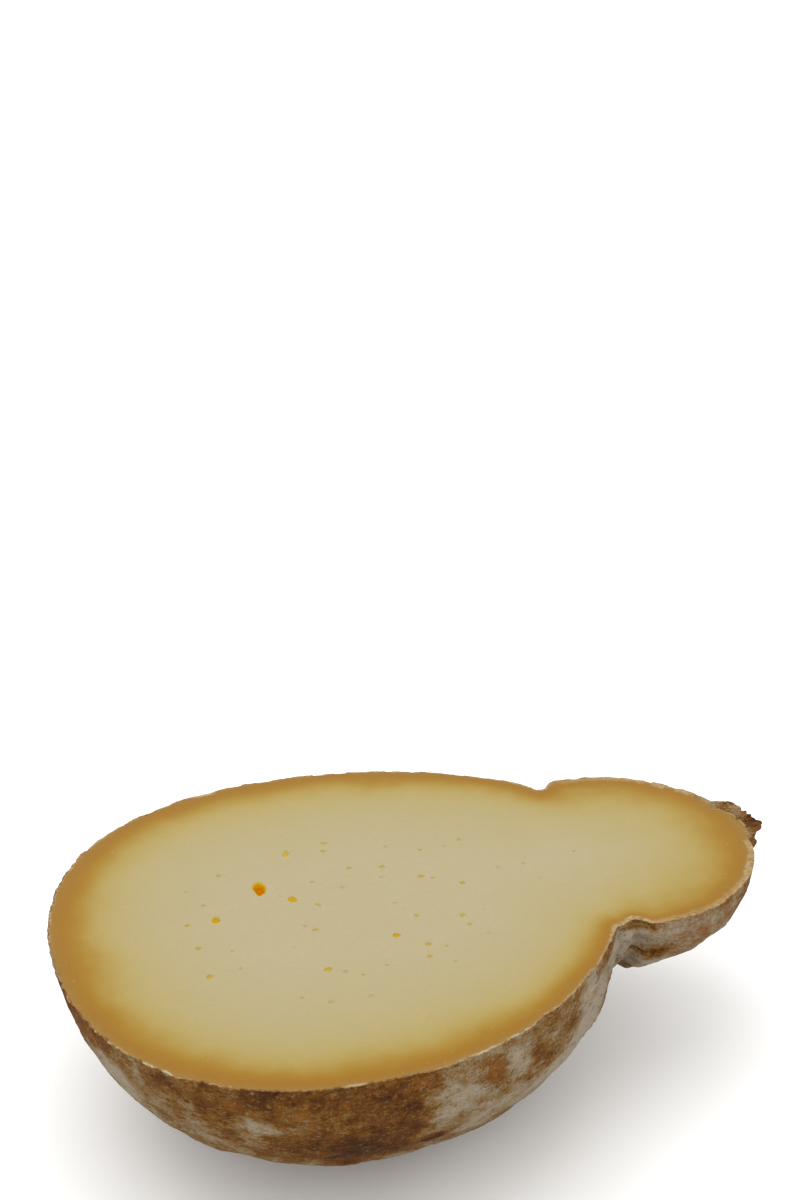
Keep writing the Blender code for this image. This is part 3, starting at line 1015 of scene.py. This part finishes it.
class Shading:
    """A material, and short ways to add nodes to it."""

    def __init__(self, name):
        self.material = bpy.data.materials.new(name)
        self.material.use_nodes = True
        self.tree = self.material.node_tree
        self.shader = self.tree.nodes["Principled BSDF"]
        self.place = self.add("TexCoord").outputs["Object"]

    def put(self, socket, value):
        if isinstance(value, bpy.types.NodeSocket):
            self.tree.links.new(value, socket)
        else:
            socket.default_value = value

    def add(self, kind, inputs=(), **settings):
        node = self.tree.nodes.new("ShaderNode" + kind)
        for name, value in settings.items():
            setattr(node, name, value)
        for name, value in dict(inputs).items():
            self.put(node.inputs[name], value)
        return node

    def set(self, **inputs):
        """Sets the shader's sockets: Base_Color is Base Color."""
        for name, value in inputs.items():
            self.put(self.shader.inputs[name.replace("_", " ")], value)

    def attribute(self, name, output="Fac"):
        return self.add("Attribute", attribute_name=name).outputs[output]

    def stretched(self, vector, scale):
        return self.add("Mapping", {"Vector": vector, "Scale": scale}).outputs["Vector"]

    def noise(self, size, vector=None, detail=3.0, roughness=0.55, distortion=0.0):
        """Noise from 0 to 1 with forms of this size."""
        inputs = {"Vector": vector or self.place, "Scale": 1 / size, "Detail": detail}
        inputs |= {"Roughness": roughness, "Distortion": distortion}
        return self.add("TexNoise", inputs).outputs["Fac"]

    def math(self, operation, first, second=0.0, third=0.0):
        return self.add("Math", {0: first, 1: second, 2: third}, operation=operation).outputs[0]

    def total(self, start, *parts):
        """start plus each (noise, weight), where the noise counts from its middle."""
        for noise_value, weight in parts:
            centred = self.math("MULTIPLY_ADD", noise_value, weight, -0.5 * weight)
            start = self.math("ADD", start, centred)
        return start

    def step(self, value, start, end, low_value=0.0, high_value=1.0):
        inputs = {"Value": value, "From Min": start, "From Max": end}
        inputs |= {"To Min": low_value, "To Max": high_value}
        return self.add("MapRange", inputs, interpolation_type="SMOOTHSTEP").outputs["Result"]

    def ramp(self, value, stops):
        """A colour that runs through (place from 0 to 1, tint) stops."""
        node = self.add("ValToRGB", {"Fac": value})
        elements = node.color_ramp.elements
        while len(elements) < len(stops):
            elements.new(1.0)
        for element, (place, colour) in zip(elements, stops):
            element.position = place
            element.color = (*tint(*colour), 1)
        return node.outputs["Color"]

    def mix(self, share, first, second):
        node = self.add("Mix", data_type="RGBA")
        for socket, value in zip((node.inputs[0], node.inputs[6], node.inputs[7]), (share, first, second)):
            self.put(socket, (*tint(*value), 1) if isinstance(value, tuple) else value)
        return node.outputs[2]

    def scaled(self, colour, factor):
        node = self.add("VectorMath", {0: colour}, operation="SCALE")
        self.put(node.inputs["Scale"], factor)
        return node.outputs["Vector"]

    def bump(self, height, distance, strength=1.0, normal=None):
        inputs = {"Height": height, "Distance": distance, "Strength": strength}
        if normal:
            inputs["Normal"] = normal
        return self.add("Bump", inputs).outputs["Normal"]


# The paste's colour, from the rim inwards: (millimetres, tint).
PASTE_TINTS = (
    (0.0, (155, 119, 58)),
    (1.5, (153, 111, 34)),
    (3.0, (154, 109, 18)),
    (5.0, (157, 113, 18)),
    (7.0, (161, 121, 28)),
    (9.0, (166, 132, 47)),
    (11.5, (171, 144, 69)),
    (14.5, (175, 153, 86)),
    (18.0, (177, 158, 98)),
    (23.0, (178, 161, 109)),
    (35.0, (179, 164, 120)),
    (60.0, (180, 167, 129)),
)
PASTE_REACH = PASTE_TINTS[-1][0]
RIM_PASTE_TINT = (157, 119, 56)
KNOT_PASTE_TINT = (145, 114, 60)
WORN_PASTE_TINT = (170, 138, 86)

# An eye's colour, from the faintest to the deepest.
EYE_TINTS = (
    (0.0, (176, 163, 116)),
    (0.2, (186, 164, 88)),
    (0.4, (199, 167, 52)),
    (0.6, (206, 162, 22)),
    (0.8, (205, 145, 2)),
    (1.0, (196, 115, 0)),
)
FLECK_TINT = (198, 182, 132)
PASTE_RADIUS = (1.0, 0.55, 0.2)  # how far red, green and blue light go in it, of PASTE_SCALE
PASTE_SCALE = 0.0018


def paste_ground(m, cut_along):
    """The browned rim and the pale middle, with faint flecks and an uneven tone, and painted shade and
    light along the cut's fine streaks.
    """
    from_rim = m.attribute("from_rim")
    wander = m.total(0.0, (m.noise(0.024, detail=2), 0.008), (m.noise(0.006, detail=2), 0.0016))
    wander = m.math("MULTIPLY", wander, m.step(from_rim, 0.0, 0.010))
    depth = m.math("MULTIPLY", m.math("ADD", from_rim, wander), 1 / (PASTE_REACH * MM))
    colour = m.ramp(depth, [(at / PASTE_REACH, value) for at, value in PASTE_TINTS])
    clouds, spots = m.noise(0.03, detail=2), m.noise(0.0022)
    # Clouds and spots are the paste's own uneven tone. The streaks along the cut use the bump's own noise,
    # so they are lighter on their ridges and darker in their grooves: painted shade and light.
    tone_and_streak_shade = m.total(1.0, (clouds, 0.03), (spots, 0.035), (m.noise(0.0007, cut_along), 0.03))
    flecks = m.step(m.noise(0.0016, detail=1), 0.73, 0.82, 0.0, 0.32)
    return m.mix(flecks, m.scaled(colour, tone_and_streak_shade), FLECK_TINT)


def paste_wear(m, colour):
    """The craggier paste at the knot, and the worn paste at the head's edge."""
    knot = m.total(m.attribute("knot"), (m.noise(0.0030, detail=4, roughness=0.7), 1.0))
    colour = m.mix(m.step(knot, 0.25, 0.85, 0.0, 0.75), colour, KNOT_PASTE_TINT)
    crumbs = m.noise(0.0012, detail=4, roughness=0.7)
    worn = m.total(m.attribute("worn"), (crumbs, 1.1), (m.noise(0.005), 0.7))
    return m.mix(m.step(worn, 0.30, 0.75, 0.0, 0.8), colour, WORN_PASTE_TINT)


def paste_material():
    m = Shading("paste")
    cut_along = m.stretched(m.place, (0.06, 1.0, 1.0))
    colour = paste_wear(m, paste_ground(m, cut_along))
    eye = m.attribute("eye")
    eye_colour = m.ramp(m.total(eye, (m.noise(0.0012, detail=1), 0.25)), EYE_TINTS)
    colour = m.mix(m.step(eye, 0.0, 0.22), colour, eye_colour)
    m.set(Base_Color=colour, Roughness=0.55, Subsurface_Weight=0.2)
    m.set(Subsurface_Radius=PASTE_RADIUS, Subsurface_Scale=PASTE_SCALE)
    m.set(IOR=1.40, Specular_IOR_Level=m.step(eye, 0.0, 0.6, 0.25, 0.0))
    height = m.total(0.0, (m.noise(0.0011), 1.0), (m.noise(0.0007, cut_along), 0.8))
    m.set(Normal=m.bump(height, 0.00012))
    return m.material


# The rind's colour, from the greyest to the darkest brown.
RIND_TINTS = (
    (0.00, (164, 151, 130)),
    (0.20, (147, 127, 98)),
    (0.38, (128, 92, 42)),
    (0.54, (109, 66, 20)),
    (0.74, (82, 46, 15)),
    (1.00, (48, 28, 13)),
)
ORANGE_TINTS = ((0.2, (100, 54, 15)), (0.5, (132, 80, 26)), (0.85, (162, 110, 48)))
MOULD_TINTS = ((0.2, (134, 121, 99)), (0.5, (160, 149, 128)), (0.85, (184, 175, 156)))
# The crumbly edge, from its dark ground to its pale chips.
EDGE_TINTS = (
    (0.18, (120, 82, 46)),
    (0.38, (150, 113, 66)),
    (0.56, (166, 135, 90)),
    (0.72, (180, 155, 112)),
    (0.95, (194, 178, 140)),
)
HAIR_TINT = (54, 34, 20)
SPECK_TINT = (54, 31, 16)
CRUMB_TINT = (176, 154, 116)
# The noises that most of the rind's colours and its relief share.
Weave = collections.namedtuple("Weave", "fibres threads grit patches")


def rind_weave(m, grain):
    fibres = m.noise(0.0021, m.stretched(grain, (0.55, 1.0, 1.0)), detail=4, roughness=0.65, distortion=0.6)
    threads = m.noise(0.0008, m.stretched(grain, (0.42, 1.0, 1.0)), detail=2, roughness=0.6)
    grit = m.noise(0.0009, detail=3)
    patches = m.noise(0.0066, detail=5, roughness=0.6, distortion=0.3)
    return Weave(fibres, threads, grit, patches)


def rind_ground(m, weave, brown, ochre, pale):
    """Grey to dark brown, with orange and then mould over it."""
    broad = m.total(brown, (m.noise(0.030, detail=2), 0.5), (m.noise(0.017, detail=3), 0.6))
    fine = ((weave.fibres, 0.5), (weave.threads, 0.5), (weave.grit, 0.7))
    colour = m.ramp(m.total(broad, (weave.patches, 0.85), *fine), RIND_TINTS)
    warm = m.total(ochre, (m.noise(0.0052, detail=4), 1.5), (weave.fibres, 0.5), (weave.grit, 0.4))
    orange = m.ramp(m.total(0.5, (weave.grit, 1.3), (weave.threads, 0.9)), ORANGE_TINTS)
    colour = m.mix(m.step(warm, 0.46, 0.84, 0.0, 0.8), colour, orange)
    blooms = m.noise(0.0044, detail=4, roughness=0.62)
    fine = ((weave.fibres, 0.45), (weave.threads, 0.35), (weave.grit, 0.5))
    mould = m.total(pale, (blooms, 1.5), *fine)
    grey = m.ramp(m.total(0.5, (weave.grit, 1.2), (weave.threads, 1.0)), MOULD_TINTS)
    return m.mix(m.step(mould, 0.48, 0.88, 0.0, 0.75), colour, grey)


def rind_marks_and_relief_shade(m, weave, grain, colour):
    """Dark hairs and specks, and pale crumbs, then the relief's painted shade and light over all."""
    along = m.noise(0.0044, m.stretched(grain, (0.20, 1.0, 1.0)), distortion=0.5)
    hairs = m.step(m.math("ABSOLUTE", m.math("SUBTRACT", along, 0.5)), 0.0, 0.014, 0.65, 0.0)
    where = m.step(m.noise(0.009, detail=2), 0.50, 0.60)
    colour = m.mix(m.math("MULTIPLY", hairs, where), colour, HAIR_TINT)
    specks = m.step(m.noise(0.0012, m.stretched(grain, (0.5, 1.0, 1.0)), detail=3), 0.58, 0.74, 0.0, 0.75)
    colour = m.mix(specks, colour, SPECK_TINT)
    crumbs = m.step(m.noise(0.0009, m.stretched(grain, (0.6, 1.1, 1.1)), detail=3), 0.56, 0.74, 0.0, 0.34)
    colour = m.mix(crumbs, colour, CRUMB_TINT)
    # Grit and threads also raise the bump, so the colour is lighter on the relief's tops and darker in its
    # hollows: painted shade and light.
    return m.scaled(colour, m.total(1.0, (weave.grit, 0.35), (weave.threads, 0.35)))


def rind_edge(m, pale, colour):
    """The crumbly edge's colours, then the paste's, where the edge attribute says so."""
    crumb = m.noise(0.0012, detail=3)
    chips = m.math("MULTIPLY_ADD", pale, 0.45, 0.42)
    edge_colour = m.ramp(m.total(chips, (crumb, 1.0), (m.noise(0.008, detail=2), 0.8)), EDGE_TINTS)
    edge = m.total(m.attribute("edge"), (crumb, 0.8))
    colour = m.mix(m.step(edge, 0.35, 0.65), colour, edge_colour)
    inner = m.mix(m.step(pale, 0.30, 0.60), RIM_PASTE_TINT, WORN_PASTE_TINT)
    return m.mix(m.step(edge, 1.05, 1.85), colour, inner)


def rind_material():
    m = Shading("rind")
    brown, ochre, pale = m.add("SeparateXYZ", {0: m.attribute("tone", "Vector")}).outputs
    grain = m.attribute("grain", "Vector")
    weave = rind_weave(m, grain)
    colour = rind_ground(m, weave, brown, ochre, pale)
    colour = rind_edge(m, pale, rind_marks_and_relief_shade(m, weave, grain, colour))
    m.set(Base_Color=colour, Roughness=0.85, Specular_IOR_Level=0.08)
    coarse, fine = (weave.patches, 0.5), ((weave.fibres, 0.6), (weave.threads, 0.4), (weave.grit, 0.8))
    m.set(Normal=m.bump(m.total(0.0, *fine, coarse), 0.0007))
    return m.material


def floor_material():
    m = Shading("floor")
    m.set(Base_Color=FLOOR_COLOUR, Roughness=0.8)
    return m.material


# -------- the scene round it

# The camera, from where the counting starts: its place, its direction seen from above, and its tilt.
CAMERA_AT = Vector((-0.0676, -0.4660, 0.3481))
CAMERA_FORWARD = (0.3594, 0.9332)
CAMERA_PITCH = math.radians(25.62)
CAMERA_LENS = 55.5
CAMERA_SENSOR = 36.0
WORLD_STRENGTH = 1.3
# The one lamp, a disk over the cheese that points at the frame's origin.
LIGHT_AT = Vector((-0.2, 0.1, 1.3))
LIGHT_SIZE = 1.2
LIGHT_POWER = 6.2
FLOOR_SIZE = 4
FLOOR_COLOUR = (0.88, 0.88, 0.87, 1)


def facing(direction):
    """The rotation of a camera or a lamp that looks this way."""
    return direction.to_track_quat("-Z", "Y").to_euler()


def add_camera():
    data = bpy.data.cameras.new("camera")
    data.lens = CAMERA_LENS
    data.sensor_width = CAMERA_SENSOR
    camera = linked("camera", data)
    camera.location = CUT_ORIGIN + CAMERA_AT
    level = math.cos(CAMERA_PITCH)
    forward = (CAMERA_FORWARD[0] * level, CAMERA_FORWARD[1] * level, -math.sin(CAMERA_PITCH))
    camera.rotation_euler = facing(Vector(forward))
    bpy.context.scene.camera = camera


def add_light():
    data = bpy.data.lights.new("overhead", "AREA")
    data.shape = "DISK"
    data.size = LIGHT_SIZE
    data.energy = LIGHT_POWER
    light = linked("overhead", data)
    light.location = LIGHT_AT
    light.rotation_euler = facing(-LIGHT_AT)


def add_world():
    world = bpy.data.worlds.new("studio")
    world.use_nodes = True
    background = world.node_tree.nodes["Background"]
    background.inputs["Color"].default_value = (1, 1, 1, 1)
    background.inputs["Strength"].default_value = WORLD_STRENGTH
    bpy.context.scene.world = world


def add_floor():
    bm = bmesh.new()
    bmesh.ops.create_grid(bm, x_segments=1, y_segments=1, size=FLOOR_SIZE)
    mesh = mesh_from("floor", bm)
    mesh.materials.append(floor_material())
    floor = linked("floor", mesh)
    floor.location.z = low.z
    floor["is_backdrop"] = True


def main():
    add_camera()
    add_world()
    add_floor()
    add_light()
    make_piece("paste", build_paste(), paste_material())
    rind = rind_material()
    make_piece("rind", build_rind(), rind)
    make_piece("knot", build_knot(), rind)
    bpy.context.scene.view_settings.view_transform = "Standard"


main()
for bounds in (cad_bounds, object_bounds()):
    json.dumps([float(value) for corner in bounds for value in corner]) + "\n"
